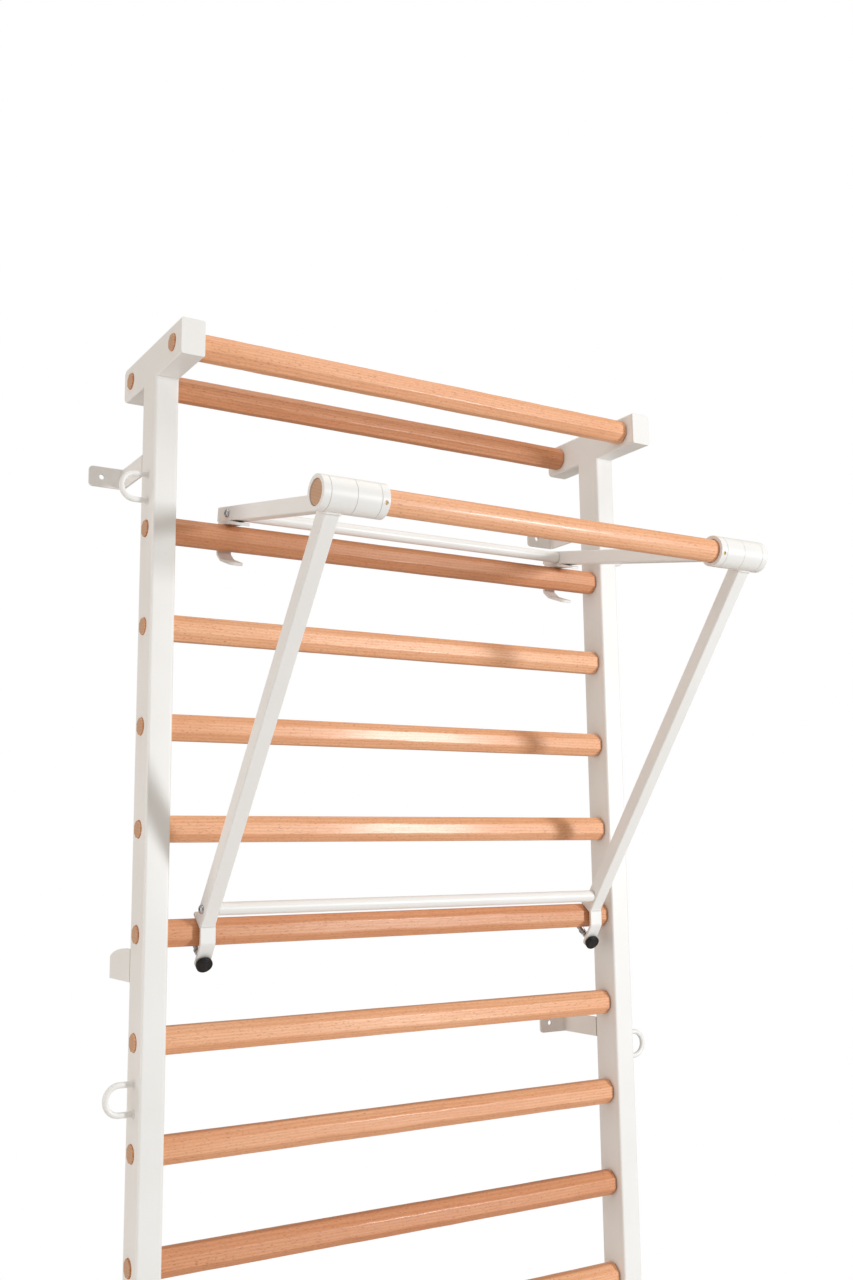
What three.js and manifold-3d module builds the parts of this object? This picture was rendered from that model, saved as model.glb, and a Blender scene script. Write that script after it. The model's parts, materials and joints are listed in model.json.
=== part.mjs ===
// Wall-mounted stall bars with a hook-on pull-up bar, in millimetres.
// x runs along the rungs, y points into the wall (the wall face is y = 0), z is up from the floor.

import * as THREE from "three";
import { mergeVertices } from "three/addons/utils/BufferGeometryUtils.js";
import Module from "manifold-3d";

const wasm = await Module();
wasm.setup();

// ---------------------------------------------------------------- driving dimensions

const gap = 0.3; // air left between parts that touch

const ladder = {
  innerWidth: 870,
  height: 2300,
  wallThickness: 2,
  cornerRadius: 4,
  tubeWidth: 40,
  tubeDepth: 60,
  backY: -100,
};
const uprightX = (ladder.innerWidth + ladder.tubeWidth) / 2;
const uprightY = ladder.backY - ladder.tubeDepth / 2;
const innerFaceX = ladder.innerWidth / 2;
const outerFaceX = innerFaceX + ladder.tubeWidth;

const head = {
  frontY: -272,
  rearY: -2,
  topZ: ladder.height,
  bottomZ: ladder.height - ladder.tubeDepth,
  rungY: [-234, -37],
  rearCornerRadius: 9,
};
const headZ = (head.topZ + head.bottomZ) / 2;

const rung = {
  count: 12,
  pitch: 160,
  lowestZ: 232,
  y: -127,
  height: 42,
  depth: 40,
  flat: 18, // width of the front and back flats of the octagon
  edgeRounding: 3,
  shoulderBevel: 3,
  tenonRadius: 14,
  tenonProud: 3,
};
const rungZ = (index) => rung.lowestZ + index * rung.pitch;
const topRungZ = rungZ(rung.count - 1);
const hookedRungZ = rungZ(rung.count - 5);

const cap = { plate: 2.5, plugDepth: 12, plugPlay: 0.4 };

const eyelet = { rodRadius: 4.5, spread: 44, reach: 48, y: -133, heights: [1112, 2058] };

const bracket = { thickness: 4, height: 35, tabLength: 58, holeX: 36, holeRadius: 4.5, endRadius: 7 };
const bracketPlaces = [
  { name: "wall-bracket-top-left", edgeX: -outerFaceX, z: 2105, tab: -1 },
  { name: "wall-bracket-top-right", edgeX: innerFaceX, z: 2105, tab: -1 },
  {
    name: "wall-bracket-middle-left", edgeX: -outerFaceX, z: 1304, tab: 1, height: 50, swept: [92, 24],
    holeDrop: 10,
  },
  { name: "wall-bracket-middle-right", edgeX: innerFaceX, z: 1144, tab: -1 },
  { name: "wall-bracket-low-left", edgeX: -innerFaceX, z: 312, tab: 1 },
  { name: "wall-bracket-low-right", edgeX: innerFaceX, z: 312, tab: -1 },
];

const unit = {
  x: 13, // the hook-on bar sits a little off the ladder's centre
  gripY: rung.y - 455,
  gripZ: topRungZ - 42,
  halfLength: 411,
  woodRadius: 18.8,
  endRecess: 1.5,
  sleeveRadius: 25.6,
  ringBore: 19.2,
  sleeveBore: 19.4,
  outerRing: 12,
  strutSleeve: 40,
  armSleeve: 38,
  innerRing: 13,
};

const frameTube = { size: 25, wall: 2, cornerRadius: 3, crossRadius: 10.5, crossWall: 2 };

const arm = {
  offset: 341, // from the unit's centre to the arm's centre line
  slope: Math.atan2(83.5, 455),
  length: 490,
  crossAt: 446,
};

const strut = {
  offset: 383.5,
  tilt: (36.67 * Math.PI) / 180, // from the vertical, foot towards the wall
  length: 723.9,
  crossAt: 700.5,
};

const strap = { thickness: 5, width: 25, bendRadius: 6 };

const bolt = { headRadius: 7, headHeight: 4.2, shankRadius: 4, holeRadius: 4.4, grip: 42 };

const setScrew = { radius: 2.6, hole: 2.9, droop: (18 * Math.PI) / 180 };

// The lower hook's leg leans back under the rung and carries a pull pin square to it.
const leg = { slope: (55 * Math.PI) / 180, length: 45, pinAt: 33.5 };
const pin = { radius: 4, stemRadius: 3, collarRadius: 6, collarThickness: 2, tip: 42, collarAt: 25 };
const knob = { radius: 13.2, thickness: 8.5, standOff: 1.5, boreDepth: 5.5 };
const spring = { radius: 5.2, wireRadius: 0.65, turns: 5 };

// ---------------------------------------------------------------- materials

const looks = {
  paint: { color: 0xeceae6, roughness: 0.45, metalness: 0.0 },
  beech: { color: 0xd8a57c, roughness: 0.5, metalness: 0.0 },
  zinc: { color: 0xa9abad, roughness: 0.35, metalness: 0.9 },
  brass: { color: 0xb08d45, roughness: 0.35, metalness: 0.9 },
  plastic: { color: 0x1b1b1c, roughness: 0.5, metalness: 0.0 },
};

// ---------------------------------------------------------------- helpers

const group = new THREE.Group();
group.name = "stall-bars-with-pull-up-bar";

const X = new THREE.Vector3(1, 0, 0);
const Y = new THREE.Vector3(0, 1, 0);
const Z = new THREE.Vector3(0, 0, 1);

// A closed geometry as a solid that can be cut and joined.
function solid(geometry) {
  const bare = new THREE.BufferGeometry();
  bare.setAttribute("position", geometry.getAttribute("position"));
  if (geometry.index) {
    bare.setIndex(geometry.index);
  }
  const merged = mergeVertices(bare, 1e-4);
  return new wasm.Manifold(
    new wasm.Mesh({
      numProp: 3,
      vertProperties: new Float32Array(merged.getAttribute("position").array),
      triVerts: new Uint32Array(merged.index.array),
    }),
  );
}

function addPart(name, body, look) {
  const mesh = body.getMesh();
  const indexed = new THREE.BufferGeometry();
  indexed.setAttribute("position", new THREE.BufferAttribute(new Float32Array(mesh.vertProperties), 3));
  indexed.setIndex(new THREE.BufferAttribute(new Uint32Array(mesh.triVerts), 1));
  const geometry = indexed.toNonIndexed();
  geometry.computeVertexNormals();
  const part = new THREE.Mesh(geometry, new THREE.MeshStandardMaterial(looks[look]));
  part.name = name;
  group.add(part);
}

function extrude(shape, length, curveSegments = 3) {
  return new THREE.ExtrudeGeometry(shape, { depth: length, bevelEnabled: false, curveSegments });
}

// Shape coordinates become (y, z) and the extrusion runs along x.
function alongX(shape, from, length, curveSegments) {
  const turn = new THREE.Matrix4().makeBasis(Y, Z, X);
  return solid(extrude(shape, length, curveSegments).applyMatrix4(turn).translate(from, 0, 0));
}

// Shape coordinates become (z, x) and the extrusion runs along y.
function alongY(shape, from, length, curveSegments) {
  const turn = new THREE.Matrix4().makeBasis(Z, X, Y);
  return solid(extrude(shape, length, curveSegments).applyMatrix4(turn).translate(0, from, 0));
}

// Shape coordinates are (x, y) and the extrusion runs along z.
function alongZ(shape, from, length, curveSegments) {
  return solid(extrude(shape, length, curveSegments).translate(0, 0, from));
}

// Turns local z onto a direction in the y-z plane, keeps x, and moves the origin.
function stand(origin, direction) {
  const side = new THREE.Vector3().crossVectors(direction, X);
  return new THREE.Matrix4().makeBasis(X, side, direction).setPosition(origin);
}

function roundedRectangle(width, height, radius, centreX = 0, centreY = 0) {
  const shape = new THREE.Shape();
  const left = centreX - width / 2;
  const right = centreX + width / 2;
  const low = centreY - height / 2;
  const high = centreY + height / 2;
  const quarter = Math.PI / 2;
  shape.moveTo(left + radius, low);
  shape.lineTo(right - radius, low);
  shape.absarc(right - radius, low + radius, radius, -quarter, 0, false);
  shape.lineTo(right, high - radius);
  shape.absarc(right - radius, high - radius, radius, 0, quarter, false);
  shape.lineTo(left + radius, high);
  shape.absarc(left + radius, high - radius, radius, quarter, 2 * quarter, false);
  shape.lineTo(left, low + radius);
  shape.absarc(left + radius, low + radius, radius, 2 * quarter, 3 * quarter, false);
  return shape;
}

// A round rod lying along x, as a polygon with flats facing y and z.
function rodX(radius, y, z, from, length, sides) {
  return alongX(polygon(radius, sides, y, z), from, length);
}

function polygon(radius, sides, centreX = 0, centreY = 0) {
  const points = [];
  for (let i = 0; i < sides; i += 1) {
    const angle = ((i + 0.5) * 2 * Math.PI) / sides;
    points.push(new THREE.Vector2(centreX + radius * Math.cos(angle), centreY + radius * Math.sin(angle)));
  }
  return new THREE.Shape(points);
}

function lathe(profile, sides) {
  const points = profile.map(([r, z]) => new THREE.Vector2(r, z));
  return new THREE.LatheGeometry(points, sides).rotateX(Math.PI / 2);
}

// Rounds the inside corners of an open polyline with short arcs.
function filleted(points, radius, steps = 4) {
  const corners = points.map(([a, b]) => new THREE.Vector2(a, b));
  const path = [corners[0]];
  for (let i = 1; i < corners.length - 1; i += 1) {
    const before = corners[i - 1].clone().sub(corners[i]).normalize();
    const after = corners[i + 1].clone().sub(corners[i]).normalize();
    const halfAngle = Math.acos(THREE.MathUtils.clamp(before.dot(after), -1, 1)) / 2;
    const back = radius / Math.tan(halfAngle);
    const start = corners[i].clone().addScaledVector(before, back);
    const end = corners[i].clone().addScaledVector(after, back);
    const bisector = before.clone().add(after).normalize();
    const centre = corners[i].clone().addScaledVector(bisector, radius / Math.sin(halfAngle));
    const first = start.clone().sub(centre).angle();
    let sweep = end.clone().sub(centre).angle() - first;
    if (sweep > Math.PI) {
      sweep -= 2 * Math.PI;
    }
    if (sweep < -Math.PI) {
      sweep += 2 * Math.PI;
    }
    for (let k = 0; k <= steps; k += 1) {
      const angle = first + (sweep * k) / steps;
      path.push(new THREE.Vector2(centre.x + radius * Math.cos(angle), centre.y + radius * Math.sin(angle)));
    }
  }
  path.push(corners[corners.length - 1]);
  return path;
}

// The outline of bent strip, given its centre line.
function strip(points, thickness, radius) {
  const path = filleted(points, radius);
  const left = [];
  const right = [];
  for (let i = 0; i < path.length; i += 1) {
    const from = path[Math.max(i - 1, 0)];
    const to = path[Math.min(i + 1, path.length - 1)];
    const direction = to.clone().sub(from).normalize();
    const normal = new THREE.Vector2(-direction.y, direction.x);
    left.push(path[i].clone().addScaledVector(normal, thickness / 2));
    right.push(path[i].clone().addScaledVector(normal, -thickness / 2));
  }
  return new THREE.Shape(right.concat(left.reverse()));
}

// ---------------------------------------------------------------- ladder

const wall = ladder.wallThickness;
const holeRadius = rung.tenonRadius + 0.4;

for (const [side, sign] of [["left", -1], ["right", 1]]) {
  // Upright with a round hole through both walls for every rung.
  const foot = cap.plate + gap;
  const length = head.bottomZ - gap - foot;
  const outside = roundedRectangle(
    ladder.tubeWidth, ladder.tubeDepth, ladder.cornerRadius, sign * uprightX, uprightY,
  );
  const inside = roundedRectangle(
    ladder.tubeWidth - 2 * wall, ladder.tubeDepth - 2 * wall, ladder.cornerRadius - wall,
    sign * uprightX, uprightY,
  );
  outside.holes.push(inside);
  let upright = alongZ(outside, foot, length);
  for (let i = 0; i < rung.count; i += 1) {
    const drill = rodX(holeRadius, rung.y, rungZ(i), sign * uprightX - 30, 60, 12);
    upright = upright.subtract(drill);
  }
  addPart(`upright-${side}`, upright, "paint");

  // Foot cap: a plate under the tube with a plug inside it.
  const footOutline = roundedRectangle(ladder.tubeWidth, ladder.tubeDepth, 4, sign * uprightX, uprightY);
  const footPlate = alongZ(footOutline, 0, cap.plate);
  const footPlug = alongZ(
    roundedRectangle(
      ladder.tubeWidth - 2 * (wall + cap.plugPlay), ladder.tubeDepth - 2 * (wall + cap.plugPlay), 1.6,
      sign * uprightX, uprightY,
    ),
    cap.plate / 2, cap.plugDepth,
  );
  addPart(`foot-cap-${side}`, footPlate.add(footPlug), "plastic");

  // Head beam: a short tube lying front to back, closed and rounded at the wall end.
  const beamFront = head.frontY + cap.plate + gap;
  const outline = new THREE.Shape();
  const r = head.rearCornerRadius;
  outline.moveTo(beamFront, head.bottomZ);
  outline.lineTo(head.rearY - r, head.bottomZ);
  outline.absarc(head.rearY - r, head.bottomZ + r, r, -Math.PI / 2, 0, false);
  outline.absarc(head.rearY - r, head.topZ - r, r, 0, Math.PI / 2, false);
  outline.lineTo(beamFront, head.topZ);
  const block = alongX(outline, sign * uprightX - ladder.tubeWidth / 2, ladder.tubeWidth, 4);
  const section = roundedRectangle(
    ladder.tubeDepth, ladder.tubeWidth, ladder.cornerRadius, headZ, sign * uprightX,
  );
  const bore = roundedRectangle(
    ladder.tubeDepth - 2 * wall, ladder.tubeWidth - 2 * wall, ladder.cornerRadius - wall,
    headZ, sign * uprightX,
  );
  const beamLength = head.rearY - beamFront;
  let beam = block.intersect(alongY(section, beamFront, beamLength));
  beam = beam.subtract(alongY(bore, beamFront - 1, beamLength - 3));
  for (const y of head.rungY) {
    beam = beam.subtract(rodX(holeRadius, y, headZ, sign * uprightX - 30, 60, 12));
  }
  addPart(`head-beam-${side}`, beam, "paint");

  // Front cap of the head beam.
  const plate = alongY(section, head.frontY, cap.plate);
  const plug = alongY(
    roundedRectangle(
      ladder.tubeDepth - 2 * (wall + cap.plugPlay), ladder.tubeWidth - 2 * (wall + cap.plugPlay), 1.6,
      headZ, sign * uprightX,
    ),
    head.frontY + cap.plate / 2, cap.plugDepth,
  );
  addPart(`head-cap-${side}`, plate.add(plug), "paint");

  // Band eyelets: bent rod standing out of the outer face.
  eyelet.heights.forEach((z, index) => {
    class Bail extends THREE.Curve {
      getPoint(t) {
        const bend = eyelet.spread / 2;
        const straight = eyelet.reach - eyelet.rodRadius - bend;
        const total = 2 * straight + Math.PI * bend;
        const along = t * total;
        let out = along;
        let up = bend;
        if (along > straight && along < total - straight) {
          const angle = (along - straight) / bend;
          out = straight + bend * Math.sin(angle);
          up = bend * Math.cos(angle);
        } else if (along >= total - straight) {
          out = total - along;
          up = -bend;
        }
        return new THREE.Vector3(sign * (outerFaceX + gap + out), eyelet.y, z + up);
      }
    }
    const rod = new THREE.ExtrudeGeometry(polygon(eyelet.rodRadius, 8), {
      steps: 14,
      bevelEnabled: false,
      extrudePath: new Bail(),
    });
    const level = index === 0 ? "low" : "high";
    addPart(`band-eyelet-${level}-${side}`, solid(rod), "paint");
  });
}

// Rungs: an octagonal beech bar with a round tenon at each end.
function octagon(inset) {
  const a = rung.depth / 2 - inset;
  const b = rung.height / 2 - inset;
  const cut = (rung.height - rung.flat) / 2;
  const round = rung.edgeRounding;
  const corners = [
    [-a, -b + cut], [-a + cut, -b], [a - cut, -b], [a, -b + cut],
    [a, b - cut], [a - cut, b], [-a + cut, b], [-a, b - cut],
  ];
  const points = [];
  corners.forEach((corner, i) => {
    const here = new THREE.Vector2(...corner);
    for (const other of [corners[(i + 7) % 8], corners[(i + 1) % 8]]) {
      const towards = new THREE.Vector2(...other).sub(here).normalize();
      points.push(here.clone().addScaledVector(towards, round / 2));
    }
  });
  return points;
}

function addRung(name, y, z) {
  const shape = new THREE.Shape(octagon(rung.shoulderBevel).map((p) => new THREE.Vector2(p.x + y, p.y + z)));
  const turn = new THREE.Matrix4().makeBasis(Y, Z, X);
  const bevel = rung.shoulderBevel;
  const half = innerFaceX - gap;
  const bar = new THREE.ExtrudeGeometry(shape, {
    depth: 2 * (half - bevel),
    bevelThickness: bevel,
    bevelSize: bevel,
    bevelSegments: 1,
  });
  bar.applyMatrix4(turn).translate(-(half - bevel), 0, 0);
  const reach = outerFaceX + rung.tenonProud;
  const tenons = rodX(rung.tenonRadius, y, z, -reach, 2 * reach, 12);
  addPart(name, solid(bar).add(tenons), "beech");
}

for (let i = 0; i < rung.count; i += 1) {
  addRung(`rung-${String(i + 1).padStart(2, "0")}`, rung.y, rungZ(i));
}
addRung("head-rung-front", head.rungY[0], headZ);
addRung("head-rung-rear", head.rungY[1], headZ);

// Wall brackets: flat strip, one leg on the upright and a drilled tab on the wall.
for (const place of bracketPlaces) {
  const height = place.height ?? bracket.height;
  const inwards = Math.sign(-place.edgeX);
  const towardsSheet = Math.abs(place.edgeX) > innerFaceX ? inwards : -inwards;
  const sheetX = place.edgeX + (bracket.thickness / 2) * towardsSheet;
  const tabEnd = sheetX + place.tab * (bracket.tabLength + bracket.thickness / 2);
  const line = [
    [sheetX, ladder.backY + gap],
    [sheetX, -bracket.thickness / 2],
    [tabEnd, -bracket.thickness / 2],
  ];
  let body = alongZ(strip(line, bracket.thickness, 4), place.z - height / 2, height);
  const reach = tabEnd - sheetX + place.tab * 20;
  const mask = roundedRectangle(height, Math.abs(reach), bracket.endRadius, place.z, tabEnd - reach / 2);
  body = body.intersect(alongY(mask, ladder.backY - 1, -ladder.backY + 2));
  if (place.swept) {
    // The upper corner next to the wall is swept off in a quarter of an ellipse.
    const [depth, drop] = place.swept;
    const top = place.z + height / 2;
    const profile = new THREE.Shape();
    profile.moveTo(ladder.backY - 1, place.z - height / 2 - 1);
    profile.lineTo(1, place.z - height / 2 - 1);
    profile.lineTo(1, top - drop);
    profile.absellipse(1 - depth, top - drop, depth, drop, 0, Math.PI / 2, false, 0);
    profile.lineTo(ladder.backY - 1, top);
    body = body.intersect(alongX(profile, sheetX - 100, 200, 8));
  }
  const holeX = sheetX + place.tab * (bracket.holeX + bracket.thickness / 2);
  const holeZ = place.z - (place.holeDrop ?? 0);
  body = body.subtract(alongY(polygon(bracket.holeRadius, 12, holeZ, holeX), -10, 20));
  addPart(place.name, body, "paint");
}

// ---------------------------------------------------------------- hook-on pull-up bar

const gripAxis = new THREE.Vector3(unit.x, unit.gripY, unit.gripZ);
const woodHalf = unit.halfLength - unit.endRecess;
addPart(
  "grip-bar",
  rodX(unit.woodRadius, unit.gripY, unit.gripZ, unit.x - woodHalf, 2 * woodHalf, 24),
  "beech",
);

function collar(bore, from, length) {
  const shape = polygon(unit.sleeveRadius, 24, unit.gripY, unit.gripZ);
  shape.holes.push(polygon(bore / Math.cos(Math.PI / 24), 24, unit.gripY, unit.gripZ));
  return alongX(shape, from, length);
}

// A box tube from the grip axis outwards, in its own frame: local z runs away from the axis.
function boxTube(length, closedEnd) {
  const size = frameTube.size;
  const outside = solid(extrude(roundedRectangle(size, size, frameTube.cornerRadius), length));
  const inner = size - 2 * frameTube.wall;
  const hollow = extrude(roundedRectangle(inner, inner, 1), closedEnd ? length - 3 : length + 1);
  const root = solid(
    new THREE.CylinderGeometry(unit.sleeveRadius - 2, unit.sleeveRadius - 2, 60, 24).rotateZ(Math.PI / 2),
  );
  return outside.subtract(solid(hollow)).subtract(root);
}

const armDirection = new THREE.Vector3(0, Math.cos(arm.slope), Math.sin(arm.slope));
const strutDirection = new THREE.Vector3(0, Math.sin(strut.tilt), -Math.cos(strut.tilt));

for (const [side, sign] of [["left", -1], ["right", 1]]) {
  const end = unit.x + sign * unit.halfLength;
  const inward = (distance) => end - sign * distance;
  const span = (near, far) => [Math.min(inward(near), inward(far)) + gap / 2, Math.abs(far - near) - gap];
  const strutSleeveStart = unit.outerRing;
  const armSleeveStart = strutSleeveStart + unit.strutSleeve;
  const innerRingStart = armSleeveStart + unit.armSleeve;
  const innerRingEnd = innerRingStart + unit.innerRing;

  addPart(`end-ring-outer-${side}`, collar(unit.ringBore, ...span(0, unit.outerRing)), "paint");

  // The inner ring is drilled for the screw that fixes it to the wood.
  const screwDirection = new THREE.Vector3(0, -Math.cos(setScrew.droop), -Math.sin(setScrew.droop));
  const screwX = inward((innerRingStart + innerRingEnd) / 2);
  const screwFrame = stand(new THREE.Vector3(screwX, unit.gripY, unit.gripZ), screwDirection);
  const screwDrill = solid(extrude(polygon(setScrew.hole, 10), 40).applyMatrix4(screwFrame));
  const innerRing = collar(unit.ringBore, ...span(innerRingStart, innerRingEnd)).subtract(screwDrill);
  addPart(`end-ring-inner-${side}`, innerRing, "paint");
  const screwLength = unit.sleeveRadius - unit.woodRadius - 1;
  const screwBody = extrude(polygon(setScrew.radius, 10), screwLength).translate(0, 0, unit.woodRadius + gap);
  addPart(`set-screw-${side}`, solid(screwBody.applyMatrix4(screwFrame)), "brass");

  for (const [part, direction, size, sleeve] of [
    ["arm", armDirection, arm, span(armSleeveStart, innerRingStart)],
    ["strut", strutDirection, strut, span(strutSleeveStart, armSleeveStart)],
  ]) {
    const x = unit.x + sign * size.offset;
    const frame = stand(new THREE.Vector3(x, unit.gripY, unit.gripZ), direction);
    const beam = boxTube(size.length, part === "arm").transform(frame.elements);
    const crossPoint = gripAxis.clone().addScaledVector(direction, size.crossAt);
    const drill = rodX(bolt.holeRadius, crossPoint.y, crossPoint.z, x - 20, 40, 12);
    const coreDrill = collar(unit.sleeveBore, ...sleeve);
    addPart(`${part}-${side}`, beam.subtract(drill).add(coreDrill), "paint");

    // Button-head bolt through the tube's outer face into the cross tube.
    const profile = [
      [0, 0], [bolt.shankRadius, 0], [bolt.shankRadius, bolt.grip],
      [bolt.headRadius, bolt.grip], [bolt.headRadius * 0.93, bolt.grip + bolt.headHeight * 0.5],
      [bolt.headRadius * 0.6, bolt.grip + bolt.headHeight * 0.88], [0, bolt.grip + bolt.headHeight],
    ];
    const screw = lathe(profile, 12).rotateY((sign * Math.PI) / 2);
    const headSeat = x + sign * (frameTube.size / 2 + gap);
    screw.translate(headSeat - sign * bolt.grip, crossPoint.y, crossPoint.z);
    addPart(`${part}-bolt-${side}`, solid(screw), "zinc");
  }
}

// Cross tubes between the two arms and between the two struts.
for (const [name, direction, size] of [
  ["cross-tube-upper", armDirection, arm],
  ["cross-tube-lower", strutDirection, strut],
]) {
  const point = gripAxis.clone().addScaledVector(direction, size.crossAt);
  const half = size.offset - frameTube.size / 2 - gap;
  const shape = polygon(frameTube.crossRadius, 16, point.y, point.z);
  shape.holes.push(polygon(frameTube.crossRadius - frameTube.crossWall, 16, point.y, point.z));
  addPart(name, alongX(shape, unit.x - half, 2 * half), "paint");
}

// Upper hooks: strip under each arm that reaches over, behind and under the top rung.
const legHeight = 22.9 + strap.thickness / 2; // from the rung's axis to the upper leg's middle
const armUp = new THREE.Vector2(-Math.sin(arm.slope), Math.cos(arm.slope));
const armAlong = new THREE.Vector2(Math.cos(arm.slope), Math.sin(arm.slope));
const onUpperLeg = (along) => [
  rung.y + armUp.x * legHeight + armAlong.x * along,
  topRungZ + armUp.y * legHeight + armAlong.y * along,
];
const upperHookLine = [
  [rung.y - 57, topRungZ + 12],
  onUpperLeg(-26),
  onUpperLeg(31),
  [rung.y + 28.5, topRungZ - 21],
  [rung.y + 13, topRungZ - 34],
  [rung.y - 30, topRungZ - 49.5],
];

// Lower hooks: jaw over the hooked rung, strip down its front, leg leaning back under it.
const jawNormal = new THREE.Vector2(-Math.sin(strut.tilt), Math.cos(strut.tilt));
const jawAlong = new THREE.Vector2(Math.cos(strut.tilt), Math.sin(strut.tilt));
const jawHeight = 22 + strap.thickness / 2;
const onJaw = (along) => [
  rung.y + jawNormal.x * jawHeight + jawAlong.x * along,
  hookedRungZ + jawNormal.y * jawHeight + jawAlong.y * along,
];
const frontY = rung.y - 33 + strap.thickness / 2;
const jawCorner = (frontY - rung.y - jawNormal.x * jawHeight) / jawAlong.x;
const legAlong = new THREE.Vector2(Math.cos(leg.slope), -Math.sin(leg.slope));
const legFoot = [frontY, hookedRungZ - 17];
const lowerHookLine = [
  onJaw(17),
  onJaw(jawCorner),
  legFoot,
  [legFoot[0] + legAlong.x * leg.length, legFoot[1] + legAlong.y * leg.length],
];

const pinDirection = new THREE.Vector3(0, -Math.sin(leg.slope), -Math.cos(leg.slope));

for (const [side, sign] of [["left", -1], ["right", 1]]) {
  const armX = unit.x + sign * arm.offset;
  const upperHook = alongX(
    strip(upperHookLine, strap.thickness, strap.bendRadius), armX - strap.width / 2, strap.width,
  );
  addPart(`upper-hook-${side}`, upperHook, "paint");

  const x = unit.x + sign * strut.offset;
  const seat = new THREE.Vector3(x, legFoot[0] + legAlong.x * leg.pinAt, legFoot[1] + legAlong.y * leg.pinAt);
  const frame = stand(seat, pinDirection);
  const drill = solid(extrude(polygon(pin.radius + 0.35, 12), 40).translate(0, 0, -20).applyMatrix4(frame));
  const lowerHook = alongX(
    strip(lowerHookLine, strap.thickness, strap.bendRadius), x - strap.width / 2, strap.width,
  );
  addPart(`lower-hook-${side}`, lowerHook.subtract(drill), "paint");

  // Local z points out of the leg, towards the knob; the leg's middle is z = 0.
  const front = strap.thickness / 2;
  const knobBack = front + knob.standOff;
  const back = -pin.collarAt - strap.thickness / 2;
  const pinProfile = [
    [0, -pin.tip], [pin.radius - 1, -pin.tip], [pin.radius, -pin.tip + 1],
    [pin.radius, back - pin.collarThickness], [pin.collarRadius, back - pin.collarThickness],
    [pin.collarRadius, back], [pin.radius, back], [pin.radius, knobBack - gap],
    [pin.stemRadius, knobBack - gap], [pin.stemRadius, knobBack + knob.boreDepth - gap],
    [0, knobBack + knob.boreDepth - gap],
  ];
  addPart(`lock-pin-${side}`, solid(lathe(pinProfile, 12).applyMatrix4(frame)), "zinc");

  const bore = pin.stemRadius + gap;
  const crown = knobBack + knob.thickness;
  const knobProfile = [
    [0, knobBack + knob.boreDepth], [bore, knobBack + knob.boreDepth], [bore, knobBack],
    [knob.radius * 0.62, knobBack], [knob.radius * 0.9, knobBack + 1.2], [knob.radius, knobBack + 3.2],
    [knob.radius, crown - 2.6], [knob.radius * 0.92, crown - 1], [knob.radius * 0.6, crown - 0.3], [0, crown],
  ];
  addPart(`lock-knob-${side}`, solid(lathe(knobProfile, 20).applyMatrix4(frame)), "plastic");

  // Return spring between the leg and the pin's collar.
  class Coil extends THREE.Curve {
    getPoint(t) {
      const angle = t * spring.turns * 2 * Math.PI;
      const top = -front - gap - spring.wireRadius;
      const bottom = back + gap + spring.wireRadius;
      return new THREE.Vector3(
        spring.radius * Math.cos(angle), spring.radius * Math.sin(angle), top + (bottom - top) * t,
      );
    }
  }
  const coil = new THREE.ExtrudeGeometry(polygon(spring.wireRadius, 5), {
    steps: spring.turns * 12,
    bevelEnabled: false,
    extrudePath: new Coil(),
  });
  addPart(`pin-spring-${side}`, solid(coil.applyMatrix4(frame)), "zinc");
}

export default group;
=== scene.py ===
"""Looks of the wall-mounted stall bars with a hook-on pull-up bar.

Lengths are in millimetres until a mesh is made.
"""

import json
import math
import random

import bpy
from mathutils import Matrix, Vector, noise


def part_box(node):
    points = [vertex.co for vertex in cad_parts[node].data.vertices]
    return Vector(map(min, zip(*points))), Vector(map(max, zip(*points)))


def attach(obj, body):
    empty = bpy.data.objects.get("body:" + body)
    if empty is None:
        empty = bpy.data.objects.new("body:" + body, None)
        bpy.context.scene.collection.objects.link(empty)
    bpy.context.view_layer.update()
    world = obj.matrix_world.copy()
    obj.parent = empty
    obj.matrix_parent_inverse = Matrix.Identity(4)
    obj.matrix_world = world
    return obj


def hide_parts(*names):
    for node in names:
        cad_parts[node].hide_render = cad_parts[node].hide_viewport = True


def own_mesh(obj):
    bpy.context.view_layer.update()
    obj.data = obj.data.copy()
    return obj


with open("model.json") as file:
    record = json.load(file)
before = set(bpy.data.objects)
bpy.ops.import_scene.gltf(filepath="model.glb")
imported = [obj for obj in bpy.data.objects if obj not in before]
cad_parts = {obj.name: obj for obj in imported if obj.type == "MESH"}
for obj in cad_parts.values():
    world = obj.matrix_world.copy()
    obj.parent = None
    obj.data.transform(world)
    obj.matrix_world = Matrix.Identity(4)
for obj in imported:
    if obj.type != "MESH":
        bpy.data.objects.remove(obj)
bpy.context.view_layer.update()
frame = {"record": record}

MM = 0.001
SIDES = (("left", -1), ("right", 1))
X = Vector((1, 0, 0))

record = frame["record"]
behaviour = record["behaviour"]
BODY_OF = {node: body for body, nodes in behaviour["bodies"].items() for node in nodes}
JOINTS = {joint["name"]: joint for joint in behaviour["joints"]}

# ---------------------------------------------------------------- sizes that the frame's boxes don't give

GAP = 0.3  # air left between parts that touch
SQUARE_ENDS = (0.0, 0.0)  # a bar whose ends don't roll off

TUBE_CORNER = 4.0  # outside corner of the ladder's tube
BEAM_REAR_CORNER = 9.0  # rounding of the head beam's wall end, seen from the side
BEAM_REAR_EASE = 1.5  # rounding of the same end's vertical edges
PLUG_SLACK = 5.0  # how much narrower a cap's plug is than its tube
PLUG_CORNER = 2
PLUG_START = 0.6  # where in its plate a plug begins, as a share of the plate

RUNG_FLAT = 18.0  # width of a rung's front flat
RUNG_EDGE = 4.5  # rounding of a rung's long edges
RUNG_SHOULDER = 3.0  # rounding of a rung's ends
SANDING = 1.6  # how far a rung's slanting sides wander
TENON_RADIUS = 14.0
TENON_HOLE = 14.4

EYELET_ROD = 4.5
EYELET_BURIED = 1.0  # how far the rod's ends reach into the weld

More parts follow.
